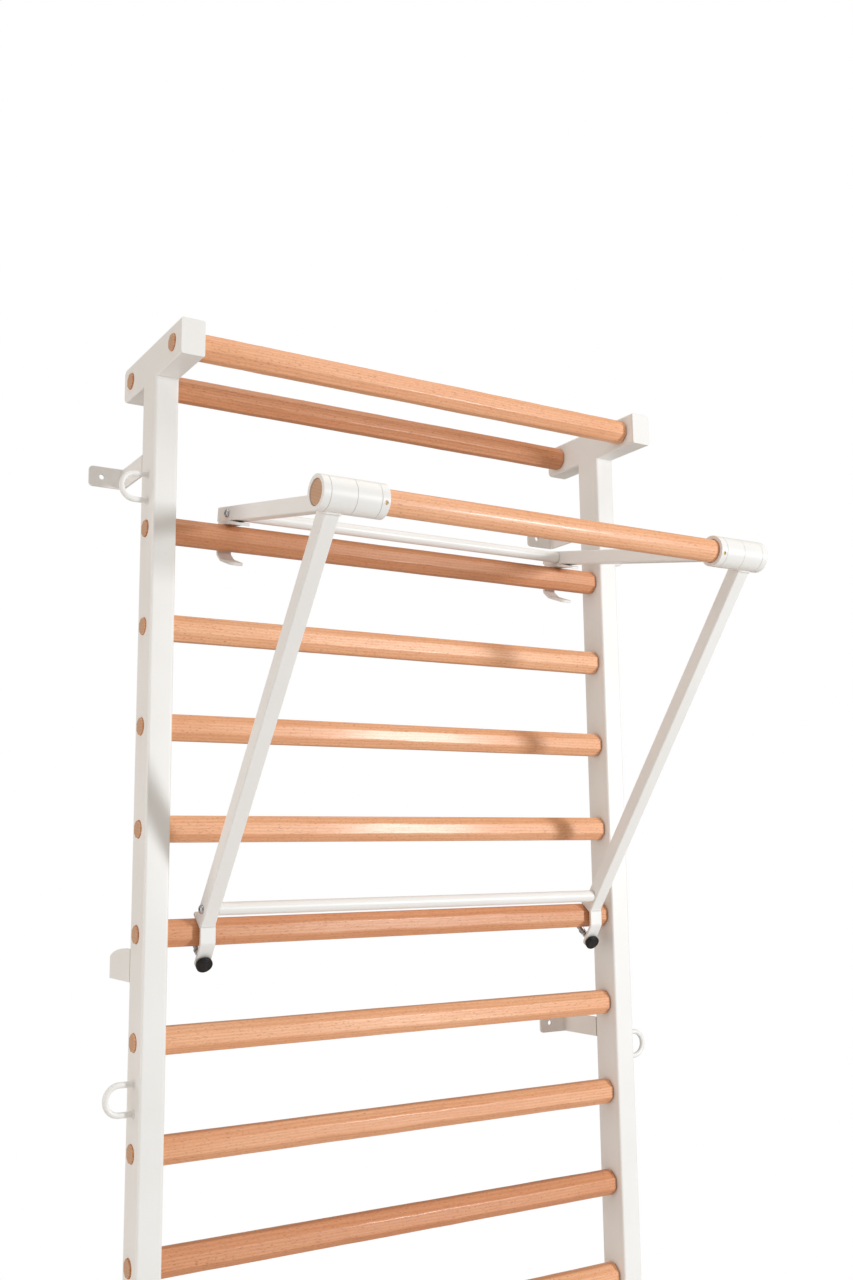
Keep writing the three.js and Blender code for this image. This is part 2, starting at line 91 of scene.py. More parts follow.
BRACKET_SHEET = 4.0
BRACKET_BEND = 4.0
BRACKET_END = 7.0  # rounding of the tab's corners
BRACKET_HOLE = 4.5
BRACKET_HOLE_OUT = 38.0
SWEPT_BRACKET = "middle-left"  # the bracket whose upper corner is swept off
SWEEP_DEPTH = 92.0
SWEEP_DROP = 24.0
SWEPT_HOLE_DROP = 10.0
# Which way each bracket's tab points along x.
BRACKET_TABS = {
    "top-left": -1, "top-right": -1, "middle-left": 1, "middle-right": -1, "low-left": 1, "low-right": -1,
}

FRAME_TUBE = 25.0
FRAME_WALL = 2.0
FRAME_CORNER = 3.0  # outside corner of the hook-on bar's tube
CROSS_WALL = 2.0
SLEEVE_BORE = 19.4
RING_BORE = 19.2

BOLT_SHANK = 4.0
BOLT_TIP = 3.2
BOLT_HOLE = 4.4
BOLT_HEAD = 4.2  # height of the head
BOLT_SOCKET = 2.35
SET_SCREW = 2.6
SET_SCREW_HOLE = 2.9
SET_SCREW_SUNK = 1.2  # how far the screw sits below the ring's surface
SET_SCREW_DROOP = math.radians(18)

STRIP = 5.0  # thickness of the hooks' strip
STRIP_WIDTH = 25.0
STRIP_BEND = 6.0
LEG_SLOPE = math.radians(55)
LEG_LENGTH = 45.0

PIN_AT = 33.5  # distance down the lower hook's leg
PIN_RADIUS = 4.0
PIN_PLAY = 0.35
PIN_TIP = -42.0
STEM_RADIUS = 3.0
COLLAR_BACK = -27.5
COLLAR_THICKNESS = 2.0
COLLAR_RADIUS = 6.0
COLLAR_EASE = 0.4
KNOB_RADIUS = 13.2
KNOB_THICKNESS = 8.5
KNOB_STAND_OFF = 1.5
KNOB_BORE_DEPTH = 5.5
SPRING_RADIUS = 5.2
SPRING_WIRE = 0.65
SPRING_TURNS = 5.0
SPRING_END_TURN = 0.6  # how much of a turn lies flat at each end
SPRING_STEPS = 28  # points in each turn


def box_mm(node):
    low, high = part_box(node)
    return low / MM, high / MM


def centre_mm(node):
    low, high = box_mm(node)
    return (low + high) / 2


# ---------------------------------------------------------------- outlines

def rounded_rectangle(width, height, radius, steps=6):
    """A profile: given an inset, the outline's points, anticlockwise round the origin."""
    def points(inset=0.0):
        half_width = width / 2 - inset
        half_height = height / 2 - inset
        r = max(radius - inset, 0.05)
        corners = ((1, 1, 0), (-1, 1, 90), (-1, -1, 180), (1, -1, 270))
        outline = []
        for right, up, start in corners:
            for k in range(steps + 1):
                angle = math.radians(start + 90 * k / steps)
                outline.append((
                    right * (half_width - r) + r * math.cos(angle),
                    up * (half_height - r) + r * math.sin(angle),
                ))
        return outline
    return points


def circle(radius, sides=64):
    def points(inset=0.0):
        turn = 2 * math.pi / sides
        r = radius - inset
        return [(r * math.cos(turn * i), r * math.sin(turn * i)) for i in range(sides)]
    return points


def octagon(depth, height, flat, rounding, steps=5):
    """The rung's section: an octagon with rounded corners, as points in y and z.

    spare holds what the sanding left on each slanting side: upper rear, upper front, lower front, lower rear.
    """
    shrink = math.tan(math.radians(22.5))
    cut = (height - flat) / 2

    def points(inset=0.0, spare=(0, 0, 0, 0)):
        a = depth / 2 - inset
        b = height / 2 - inset
        short_a = depth / 2 - cut - inset * shrink
        short_b = height / 2 - cut - inset * shrink
        upper_rear, upper_front, lower_front, lower_rear = spare
        corners = [
            (a, short_b + upper_rear), (short_a + upper_rear, b),
            (-short_a - upper_front, b), (-a, short_b + upper_front),
            (-a, -short_b - lower_front), (-short_a - lower_front, -b),
            (short_a + lower_rear, -b), (a, -short_b - lower_rear),
        ]
        r = max(rounding - inset, 0.4)
        outline = []
        for i, corner in enumerate(corners):
            here = Vector(corner)
            back = (Vector(corners[i - 1]) - here).normalized()
            ahead = (Vector(corners[(i + 1) % 8]) - here).normalized()
            inward = (back + ahead).normalized()
            half = math.acos(max(-1, min(1, back.dot(ahead)))) / 2
            centre = here + inward * (r / math.sin(half))
            start = math.atan2(*(here + back * (r / math.tan(half)) - centre).yx)
            for k in range(steps + 1):
                angle = start + math.radians(45) * k / steps
                outline.append((centre.x + r * math.cos(angle), centre.y + r * math.sin(angle)))
        return outline
    return points


def filleted(corners, radius, steps=10):
    """An open polyline whose inner corners are arcs."""
    points = [Vector(c) for c in corners]
    path = [points[0]]
    for before, here, after in zip(points, points[1:], points[2:]):
        back = (before - here).normalized()
        ahead = (after - here).normalized()
        half = math.acos(max(-1, min(1, back.dot(ahead)))) / 2
        start = here + back * (radius / math.tan(half))
        end = here + ahead * (radius / math.tan(half))
        centre = here + (back + ahead).normalized() * (radius / math.sin(half))
        first = math.atan2(*(start - centre).yx)
        sweep = math.atan2(*(end - centre).yx) - first
        sweep = (sweep + math.pi) % (2 * math.pi) - math.pi
        for k in range(steps + 1):
            angle = first + sweep * k / steps
            path.append(centre + radius * Vector((math.cos(angle), math.sin(angle))))
    path.append(points[-1])
    return path


# ---------------------------------------------------------------- meshes

class Shape:
    """Vertices and faces in millimetres."""

    def __init__(self):
        self.vertices = []
        self.faces = []

    def loft(self, rings, loop=False):
        """Skins closed rings of equal length.

        A loop joins the last ring to the first; otherwise both ends are capped.
        """
        base = len(self.vertices)
        count = len(rings[0])
        for ring in rings:
            self.vertices.extend(ring)
        pairs = len(rings) if loop else len(rings) - 1
        for i in range(pairs):
            a = base + i * count
            b = base + ((i + 1) % len(rings)) * count
            for k in range(count):
                m = (k + 1) % count
                self.faces.append((a + k, a + m, b + m, b + k))
        if not loop:
            self.faces.append(tuple(base + k for k in reversed(range(count))))
            self.faces.append(tuple(base + (len(rings) - 1) * count + k for k in range(count)))
        return self

    def mesh(self, name):
        mesh = bpy.data.meshes.new(name)
        mesh.from_pydata([tuple(Vector(v) * MM) for v in self.vertices], [], self.faces)
        mesh.validate()
        return mesh


def rolled_ends(length, start_edge, end_edge, steps=4):
    """(inset, distance along) of each ring of a bar whose ends roll off in quarter circles."""
    places = []
    for edge, origin, sign in ((start_edge, 0.0, 1), (end_edge, length, -1)):
        if edge:
            roll = []
            for k in range(steps + 1):
                angle = math.radians(90 * k / steps)
                roll.append((edge * (1 - math.sin(angle)), origin + sign * edge * (1 - math.cos(angle))))
        else:
            roll = [(0.0, origin)]
        places.extend(roll if sign > 0 else reversed(roll))
    return places


def ring_at(points, along, matrix):
    return [matrix @ Vector((u, v, along)) for u, v in points]


def prism(profile, length, matrix, edges=(0.5, 0.5), shape=None):
    """A solid bar from the matrix's origin along its z axis, added to a shape if one is given."""
    shape = shape or Shape()
    rings = [ring_at(profile(inset), along, matrix) for inset, along in rolled_ends(length, *edges)]
    return shape.loft(rings)


def pipe(outer, inner, length, matrix, edge=0.6):
    """A tube open at both ends."""
    places = rolled_ends(length, edge, edge, 3)
    rings = [ring_at(outer(inset), along, matrix) for inset, along in places]
    rings += [ring_at(inner(-inset * 0.5), along, matrix) for inset, along in reversed(places)]
    return Shape().loft(rings, loop=True)


def turned(profile, matrix, sides=48):
    """A solid of revolution round the matrix's z axis.

    The profile holds (radius, height) points, the first and last near the axis.
    """
    rings = [ring_at(circle(max(radius, 0.05), sides)(), height, matrix) for radius, height in profile]
    return Shape().loft(rings)


def swept(path, radius, sides=16, closed=False):
    """A round rod along a path. radius is a number or a function of the distance along."""
    count = len(path)
    tangents = []
    for i in range(count):
        before = path[i - 1] if closed or i else path[0]
        after = path[(i + 1) % count] if closed or i < count - 1 else path[-1]
        tangents.append((after - before).normalized())
    normal = tangents[0].orthogonal().normalized()
    normals = []
    for tangent in tangents:
        normal = (normal - tangent * normal.dot(tangent)).normalized()
        normals.append(normal)
    twist = 0.0
    if closed:
        carried = (normals[-1] - tangents[0] * normals[-1].dot(tangents[0])).normalized()
        side = tangents[0].cross(normals[0])
        twist = math.atan2(carried.dot(side), carried.dot(normals[0]))
    rings = []
    travelled = 0.0
    for i, (point, tangent, normal) in enumerate(zip(path, tangents, normals)):
        side = tangent.cross(normal)
        r = radius(travelled) if callable(radius) else radius
        turn = -twist * i / count
        rings.append([
            point + r * (math.cos(turn + a) * normal + math.sin(turn + a) * side)
            for a in (2 * math.pi * k / sides for k in range(sides))
        ])
        travelled += (path[(i + 1) % count] - point).length
    return Shape().loft(rings, loop=closed)


def strip(corners, matrix, width, thickness, bend, end_radii=(0.0, 0.0), edge=0.7, trim=None):
    """Bent strip.

    The corners lie in the matrix's x-y plane, and the width runs along its z axis, round its middle.
    trim(point) is the highest that the upper edge may reach at a point of the path.
    """
    path = filleted(corners, bend)
    lengths = [0.0]
    for a, b in zip(path, path[1:]):
        lengths.append(lengths[-1] + (b - a).length)
    total = lengths[-1]
    places = set(lengths[1:-1])
    places.update(along for _, along in rolled_ends(total, edge, edge, 3))
    for radius, origin, sign in ((end_radii[0], 0.0, 1), (end_radii[1], total, -1)):
        if radius:
            for k in range(8):
                places.add(origin + sign * radius * (1 - math.cos(math.radians(90 * k / 7))))
    if trim:
        places.update(total * k / 60 for k in range(1, 60))
    ordered = []
    for s in sorted(places):
        if not ordered or s - ordered[-1] > 0.05:
            ordered.append(s)
    rings = []
    for s in ordered:
        i = max(k for k in range(len(lengths) - 1) if lengths[k] <= s + 1e-9)
        part = (s - lengths[i]) / max(lengths[i + 1] - lengths[i], 1e-9)
        point = path[i].lerp(path[i + 1], part)
        before = path[i - 1] if part < 0.5 and i else path[i]
        after = path[i + 2] if part > 0.5 and i + 2 < len(path) else path[i + 1]
        direction = (after - before).normalized()
        normal = Vector((-direction.y, direction.x))
        narrow = 0.0
        for radius, distance in ((end_radii[0], s), (end_radii[1], total - s)):
            if radius and distance < radius:
                narrow = max(narrow, radius - math.sqrt(radius ** 2 - (radius - distance) ** 2))
        roll = 0.0
        end_distance = min(s, total - s)
        if end_distance < edge:
            roll = edge - math.sqrt(edge ** 2 - (edge - end_distance) ** 2)
        high = width / 2 - narrow
        low = -high
        if trim:
            high = min(high, trim(point))
        section = rounded_rectangle(high - low, thickness, edge, 3)(min(roll, edge * 0.9))
        middle = (high + low) / 2
        rings.append([
            matrix @ Vector((*(point + normal * across), middle + along)) for along, across in section
        ])
    return Shape().loft(rings)


def weld(path, radius, seed, closed=False):
    """A rippled weld bead along a path."""
    ripple = 2.6
    start = random.Random(seed).random() * 50

    def bead(travelled):
        wave = 0.10 * math.sin(2 * math.pi * travelled / ripple)
        lump = 0.22 * noise.noise(Vector((start + travelled * 0.16, seed, 0)))
        return radius * (1 + wave + lump)

    fine = []
    following = path[1:] + path[:1] if closed else path[1:]
    for a, b in zip(path, following):
        parts = max(1, round((b - a).length / 0.65))
        fine.extend(a.lerp(b, k / parts) for k in range(parts))
    if not closed:
        fine.append(path[-1])
    return swept(fine, bead, 10, closed)


# ---------------------------------------------------------------- pieces

def object_from(shape, name):
    piece = bpy.data.objects.new(name, shape.mesh(name))
    bpy.context.scene.collection.objects.link(piece)
    return piece


def carve(piece, shape, operation="DIFFERENCE"):
    """Cuts a shape out of a piece, or joins it on, for good."""
    tool = object_from(shape, "carving-tool")
    modifier = piece.modifiers.new("carve", "BOOLEAN")
    modifier.operation = operation
    modifier.solver = "EXACT"
    modifier.object = tool
    bpy.context.view_layer.update()
    shaped = bpy.data.meshes.new_from_object(piece.evaluated_get(bpy.context.evaluated_depsgraph_get()))
    piece.modifiers.clear()
    old = piece.data
    piece.data = shaped
    bpy.data.meshes.remove(old)
    tool_mesh = tool.data
    bpy.data.objects.remove(tool)
    bpy.data.meshes.remove(tool_mesh)


def settle(piece, material, body, sharp=40):
    """Smooth shading with flat faces kept flat, the material and the body."""
    piece.data.materials.clear()
    piece.data.materials.append(material)
    piece.data.shade_smooth()
    piece.data.set_sharp_from_angle(angle=math.radians(sharp))
    even = piece.modifiers.new("even normals", "WEIGHTED_NORMAL")
    even.keep_sharp = True
    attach(piece, body)
    return piece


def show(shape, node, material, suffix="shape"):
    """A detailed piece that stands for one CAD node."""
    piece = shape if isinstance(shape, bpy.types.Object) else object_from(shape, f"{node}-{suffix}")
    settle(piece, material, BODY_OF[node])
    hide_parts(node)
    return piece


def show_weld(shape, name, node):
    """A weld bead, which moves with a node's body."""
    return settle(object_from(shape, name), PAINT, BODY_OF[node], sharp=80)


# ---------------------------------------------------------------- materials

class Tree:
    """A material's node tree with a Principled shader."""

    def __init__(self, name, **uniform):
        self.material = bpy.data.materials.new(name)
        self.material.use_nodes = True
        self.tree = self.material.node_tree
        self.shader = self.tree.nodes["Principled BSDF"]
        for socket, value in uniform.items():
            self.shader.inputs[socket.replace("_", " ")].default_value = value
        self.coordinates = self.add("ShaderNodeTexCoord").outputs["Object"]

    def add(self, kind, inputs=None, **settings):
        made = self.tree.nodes.new(kind)
        for key, value in settings.items():
            setattr(made, key, value)
        for socket, value in (inputs or {}).items():
            self.set(made.inputs[socket], value)
        return made

    def set(self, socket, value):
        if isinstance(value, bpy.types.NodeSocket):
            self.tree.links.new(value, socket)
        else:
            socket.default_value = value

    def stretched(self, scale, shift=(0, 0, 0)):
        return self.add(
            "ShaderNodeMapping", {"Vector": self.coordinates, "Scale": scale, "Location": shift},
        ).outputs[0]

    def noise(self, vector, scale=1.0, detail=2.0, roughness=0.5):
        return self.add("ShaderNodeTexNoise", {
            "Vector": vector, "Scale": scale, "Detail": detail, "Roughness": roughness,
        }).outputs["Fac"]

    def range(self, value, low, high, to_low=0.0, to_high=1.0):
        return self.add("ShaderNodeMapRange", {
            "Value": value, "From Min": low, "From Max": high, "To Min": to_low, "To Max": to_high,
        }).outputs["Result"]

    def math(self, operation, a, b=0.0):
        return self.add("ShaderNodeMath", {0: a, 1: b}, operation=operation).outputs[0]

    def mix(self, factor, a, b):
        made = self.add("ShaderNodeMix", data_type="RGBA")
        self.set(made.inputs[0], factor)
        self.set(made.inputs[6], a)
        self.set(made.inputs[7], b)
        return made.outputs[2]

    def bump(self, height, distance, strength=1.0):
        made = self.add("ShaderNodeBump", {"Height": height, "Distance": distance, "Strength": strength})
        self.set(self.shader.inputs["Normal"], made.outputs[0])

    def surface(self, colour, roughness=None):
        self.set(self.shader.inputs["Base Color"], colour)
        if roughness is not None:
            self.set(self.shader.inputs["Roughness"], roughness)


def powder_coat():
    """White satin powder coat: faint orange peel, soft unevenness, and painted shade that darkens the colour
    where parts meet.
    """
    t = Tree("white-powder-coat", Specular_IOR_Level=0.5, Coat_Weight=0.12, Coat_Roughness=0.3)
    peel = t.noise(t.coordinates, scale=620.0, detail=2.0)
    cloud = t.noise(t.coordinates, scale=7.0, detail=3.0)
    colour = t.mix(t.range(cloud, 0.35, 0.65), (0.872, 0.862, 0.845, 1), (0.895, 0.888, 0.875, 1))
    # Painted shade: an ambient-occlusion mask darkens the paint to a warm grey in crevices and where parts
    # meet.
    painted_crevice_shade = t.add("ShaderNodeAmbientOcclusion", {"Distance": 0.012}, samples=8).outputs["AO"]
    colour = t.mix(t.range(painted_crevice_shade, 0.25, 0.8), (0.66, 0.62, 0.57, 1), colour)
    speck = t.range(t.noise(t.coordinates, scale=240.0, detail=1.0), 0.74, 0.8)
    colour = t.mix(t.math("MULTIPLY", speck, 0.25), colour, (0.7, 0.68, 0.64, 1))
    t.surface(colour, t.range(cloud, 0.3, 0.7, 0.36, 0.46))
    t.bump(peel, 0.00012, 0.35)
    return t.material


def tinted(colour, red, green, blue):
    return (min(colour[0] * red, 0.95), colour[1] * green, colour[2] * blue, 1)


def beech(name, seed, redness):
    """Lacquered beech with its grain along x: growth rings round an off-centre heart, fibres and dark flecks.

    The gloss is stretched across the grain, and the sawn ends have their own colour.
    """
    pick = random.Random(seed)
    t = Tree(name, Specular_IOR_Level=0.62, Anisotropic=0.68, Coat_Weight=0.13, Coat_Roughness=0.13)
    tangent = t.add("ShaderNodeTangent", direction_type="RADIAL", axis="X").outputs[0]
    t.set(t.shader.inputs["Tangent"], tangent)
    shift = tuple(pick.uniform(-3, 3) for _ in range(3))
    heart = (0.0, pick.uniform(-0.09, 0.09), pick.uniform(0.02, 0.08))
    sway = t.noise(t.stretched((1.8, 9, 9), shift), detail=2.0)
    distance = t.add(
        "ShaderNodeVectorMath", {0: t.stretched((0.0, 1.0, 1.0), heart)}, operation="LENGTH",
    ).outputs["Value"]
    phase = t.math("ADD", t.math("MULTIPLY", distance, 1300.0), t.math("MULTIPLY", sway, 22.0))
    rings = t.range(t.math("SINE", phase), -1.0, 1.0)
    bands = t.noise(t.stretched((3.0, 40, 40), shift), detail=3.0)
    fibres = t.noise(t.stretched((24, 650, 650), shift), detail=5.0, roughness=0.68)
    flecks = t.noise(t.stretched((170, 900, 900), shift), detail=1.5)
    base = Vector((0.90, 0.468, 0.25)).lerp(Vector((0.66, 0.27, 0.115)), redness)
    deep = tinted(base, 0.80, 0.60, 0.48)
    colour = t.mix(t.range(bands, 0.3, 0.7), tinted(base, 1.06, 1.16, 1.24), tinted(base, 0.97, 0.93, 0.88))
    colour = t.mix(t.math("MULTIPLY", rings, 0.38), colour, deep)
    colour = t.mix(t.range(fibres, 0.5, 0.72, 0.0, 0.55), colour, deep)
    colour = t.mix(t.range(flecks, 0.6, 0.7, 0.0, 0.7), colour, tinted(base, 0.5, 0.34, 0.26))
    normal = t.add("ShaderNodeTexCoord").outputs["Normal"]
    facing = t.add("ShaderNodeSeparateXYZ", {"Vector": normal}).outputs["X"]
    pores = t.noise(t.coordinates, scale=1100.0, detail=2.0)
    sawn = t.mix(t.range(pores, 0.35, 0.7), (0.70, 0.43, 0.27, 1), (0.5, 0.28, 0.165, 1))
    sawn = t.mix(t.math("MULTIPLY", rings, 0.35), sawn, (0.46, 0.25, 0.15, 1))
    colour = t.mix(t.range(t.math("ABSOLUTE", facing), 0.75, 0.95), colour, sawn)
    t.surface(colour, t.range(fibres, 0.3, 0.75, 0.40, 0.54))
    t.bump(t.math("SUBTRACT", fibres, t.math("MULTIPLY", flecks, 0.5)), 0.0003, 0.45)
    return t.material


def metal(name, colour, roughness, tint):
    """Plated steel or brass: fine turning marks and a cloudy tint."""
    t = Tree(name, Metallic=1.0)
    cloud = t.noise(t.coordinates, scale=160.0, detail=3.0)
    lines = t.noise(t.stretched((2600, 300, 300)), detail=2.0)
    t.surface(
        t.mix(t.range(cloud, 0.35, 0.7), (*colour, 1), (*tint, 1)),
        t.range(lines, 0.2, 0.8, roughness - 0.08, roughness + 0.1),
    )
    t.bump(lines, 0.00003, 0.3)
    return t.material


def black_plastic():
    """Moulded black plastic with a fine grain and rubbed high spots."""
    t = Tree("black-plastic", Specular_IOR_Level=0.35)
    grain = t.noise(t.coordinates, scale=1400.0, detail=2.0)
    rub = t.noise(t.coordinates, scale=90.0, detail=4.0)
    t.surface(
        t.mix(t.range(rub, 0.5, 0.75), (0.006, 0.006, 0.007, 1), (0.018, 0.018, 0.019, 1)),
        t.range(grain, 0.3, 0.7, 0.36, 0.52),
    )
    t.bump(grain, 0.00008, 0.5)
    return t.material


PAINT = powder_coat()
ZINC = metal("zinc-plate", (0.62, 0.64, 0.66), 0.3, (0.5, 0.52, 0.56))
BRASS = metal("brass", (0.78, 0.58, 0.24), 0.28, (0.62, 0.42, 0.16))
PLASTIC = black_plastic()

# How red each bar's wood is, from the head down to the lowest rung, and the grip bar.
REDNESS = {
    "head-rung-front": 0.2, "head-rung-rear": 0.75, "rung-12": 0.8, "rung-11": 0.0, "rung-10": 0.15,
    "rung-09": 0.12, "rung-08": 0.55, "rung-07": 0.05, "rung-06": 0.35, "rung-05": 0.85, "rung-04": 0.2,
    "rung-03": 0.1, "rung-02": 0.6, "rung-01": 0.3, "grip-bar": 0.05,
}
WOOD = {node: beech(f"beech-{node}", i + 1, red) for i, (node, red) in enumerate(REDNESS.items())}

# ---------------------------------------------------------------- rungs

# A profile's (u, v) and length become these: (y, z) and x, (x, z) and y, and (x, -z) and y.
ALONG_X = Matrix(((0, 0, 1, 0), (1, 0, 0, 0), (0, 1, 0, 0), (0, 0, 0, 1)))
ALONG_Y = Matrix(((1, 0, 0, 0), (0, 0, 1, 0), (0, 1, 0, 0), (0, 0, 0, 1)))
ALONG_Y_FLIPPED = Matrix(((1, 0, 0, 0), (0, 0, 1, 0), (0, -1, 0, 0), (0, 0, 0, 1)))


def along_x(x, y, z):
    return Matrix.Translation((x, y, z)) @ ALONG_X


def rung(node, shoulders):
    """An octagonal bar that steps down to round tenons at its shoulders."""
    low, high = box_mm(node)
    middle = (low + high) / 2
    profile = octagon(high.y - low.y, high.z - low.z, RUNG_FLAT, RUNG_EDGE)
    matrix = along_x(0, middle.y, middle.z)

    left, right = shoulders
    seed = low.z + low.y

    def sanding(along):
        """How far each slanting side wanders at a place along the bar."""
        fade = min(1.0, along / 60, (right - left - along) / 60)
        wander = []
        for k in range(4):
            long_wave = noise.noise((along * 0.009, seed, 7 * k))
            short_wave = noise.noise((along * 0.03, seed, 9 * k))
            wander.append(SANDING * fade * (long_wave + 0.5 * short_wave))
        return tuple(wander)

    flat_end = profile(RUNG_SHOULDER)

    def tenon_ring(inset, x):
        """A round ring with a point for each point of the octagon."""
        radius = TENON_RADIUS - inset
        angles = [math.atan2(v, u) for u, v in flat_end]
        return ring_at([(radius * math.cos(a), radius * math.sin(a)) for a in angles], x, matrix)

    places = rolled_ends(right - left, RUNG_SHOULDER, RUNG_SHOULDER, 5)
    spans = round((right - left) / 12)
    between = [(0.0, (right - left) * k / spans) for k in range(1, spans)]
    bar = [
        ring_at(profile(inset, sanding(along)), left + along, matrix)
        for inset, along in places[:6] + between + places[6:]
    ]
    tenon = rolled_ends(high.x - low.x, 1.2, 1.2, 3)
    start = [tenon_ring(inset, low.x + along) for inset, along in tenon[:4]]
    end = [tenon_ring(inset, low.x + along) for inset, along in tenon[4:]]
    rings = start + [tenon_ring(0.0, left)] + bar + [tenon_ring(0.0, right)] + end
    show(Shape().loft(rings), node, WOOD[node], "wood")


inner_left = box_mm("upright-left")[1].x
inner_right = box_mm("upright-right")[0].x
rung_nodes = [node for node in WOOD if node != "grip-bar"]
for node in rung_nodes:
    rung(node, (inner_left + GAP, inner_right - GAP))

# ---------------------------------------------------------------- uprights and head

for side, sign in SIDES:
    low, high = box_mm(f"upright-{side}")
    beam_low, beam_high = box_mm(f"head-beam-{side}")
    middle = (low + high) / 2
    width = high.x - low.x
    depth = high.y - low.y
    tube = rounded_rectangle(width, depth, TUBE_CORNER)
    # The tube runs on into the beam's rounded corner, as the ground weld does.
    upright = object_from(
        prism(
            tube, beam_low.z + TUBE_CORNER - low.z,
            Matrix.Translation((middle.x, middle.y, low.z)), (0.5, 0.0),
        ),
        f"upright-{side}-tube",
    )
    drills = Shape()
    for node in rung_nodes:
        rung_centre = centre_mm(node)
        if rung_centre.z < beam_low.z:
            prism(
                circle(TENON_HOLE), width + 20, along_x(low.x - 10, rung_centre.y, rung_centre.z),
                SQUARE_ENDS, drills,
            )
    carve(upright, drills)
    show(upright, f"upright-{side}", PAINT)

    # Head beam: the tube's section along y, with the wall end rounded over.
    height = beam_high.z - beam_low.z
    rings = []
    beam_length = beam_high.y - beam_low.y
    matrix = Matrix.Translation((middle.x, beam_low.y, (beam_low.z + beam_high.z) / 2)) @ ALONG_Y
    for along, inset in ((0.0, 0.5), (0.15, 0.15), (0.5, 0.0)):
        rings.append(ring_at(rounded_rectangle(width, height, TUBE_CORNER)(inset), along, matrix))
    for k in range(9):
        step = BEAM_REAR_CORNER * math.sin(math.radians(90 * k / 8))
        drop = BEAM_REAR_CORNER - math.sqrt(BEAM_REAR_CORNER ** 2 - step ** 2)
        edge = max(0.0, step - (BEAM_REAR_CORNER - BEAM_REAR_EASE))
        side_inset = BEAM_REAR_EASE - math.sqrt(BEAM_REAR_EASE ** 2 - edge ** 2)
        section = rounded_rectangle(width - 2 * side_inset, height - 2 * drop, TUBE_CORNER)()
        rings.append(ring_at(section, beam_length - BEAM_REAR_CORNER + step, matrix))
    beam_shape = Shape().loft([list(reversed(ring)) for ring in rings])
    beam = object_from(beam_shape, f"head-beam-{side}-tube")
    drills = Shape()
    for node in ("head-rung-front", "head-rung-rear"):
        rung_centre = centre_mm(node)
        prism(
            circle(TENON_HOLE), width + 20, along_x(low.x - 10, rung_centre.y, rung_centre.z),
            SQUARE_ENDS, drills,
        )
    carve(beam, drills)
    show(beam, f"head-beam-{side}", PAINT)

    # Front cap: a plate with soft edges, and its plug inside the tube.
    cap_low, cap_high = box_mm(f"head-cap-{side}")
    plate = beam_low.y - GAP - cap_low.y
    plug_start = plate * PLUG_START
    plug_length = cap_high.y - cap_low.y - plug_start
    plug_profile = rounded_rectangle(width - PLUG_SLACK, height - PLUG_SLACK, PLUG_CORNER)
    cap_matrix = Matrix.Translation((middle.x, cap_low.y, (beam_low.z + beam_high.z) / 2)) @ ALONG_Y
    cap = Shape()
    for profile, start, length, edges in (
        (rounded_rectangle(width, height, TUBE_CORNER), 0.0, plate, (0.9, 0.3)),
        (plug_profile, plug_start, plug_length, (0.2, 0.6)),
    ):
        at = cap_matrix @ Matrix.Translation((0, 0, start))
        rings = [ring_at(profile(inset), along, at) for inset, along in rolled_ends(length, *edges, 3)]
        cap.loft([list(reversed(ring)) for ring in rings])
    show(cap, f"head-cap-{side}", PAINT)

    # Foot cap under the tube.
    foot_low, foot_high = box_mm(f"foot-cap-{side}")
    foot_plate = low.z - GAP - foot_low.z
    foot = prism(
        rounded_rectangle(width, depth, TUBE_CORNER), foot_plate,
        Matrix.Translation((middle.x, middle.y, foot_low.z)), (0.8, 0.3),
    )
    plug_start = foot_plate * PLUG_START
    prism(
        rounded_rectangle(width - PLUG_SLACK, depth - PLUG_SLACK, PLUG_CORNER),
        foot_high.z - foot_low.z - plug_start,
        Matrix.Translation((middle.x, middle.y, foot_low.z + plug_start)), (0.2, 0.8), foot,
    )
    show(foot, f"foot-cap-{side}", PLASTIC)

    # Band eyelets: bent rod with a weld at each root.
    for level in ("low", "high"):
        node = f"band-eyelet-{level}-{side}"
        eye_low, eye_high = box_mm(node)
        eye = (eye_low + eye_high) / 2
        face = high.x if sign > 0 else low.x
        reach = (eye_high.x - eye_low.x) - EYELET_ROD
        bend = (eye_high.z - eye_low.z) / 2 - EYELET_ROD
        straight = reach - bend
        root_x = face - sign * EYELET_BURIED
        path = [Vector((root_x, eye.y, eye.z + bend))]
        for k in range(29):
            angle = math.radians(180 * k / 28)
            out = straight + bend * math.sin(angle)
            path.append(Vector((face + sign * (GAP + out), eye.y, eye.z + bend * math.cos(angle))))
        path.append(Vector((root_x, eye.y, eye.z - bend)))
        show(swept(path, EYELET_ROD, 24), node, PAINT, "rod")
        for k, end in enumerate((bend, -bend)):
            around = [Vector((face, eye.y + u, eye.z + end + v)) for u, v in circle(EYELET_ROD + GAP, 28)()]
            seed = 11 * k + 3 * (sign + 2) + len(level)
            show_weld(weld(around, 1.5, seed, closed=True), f"weld-{node}-{k + 1}", node)

# ---------------------------------------------------------------- wall brackets

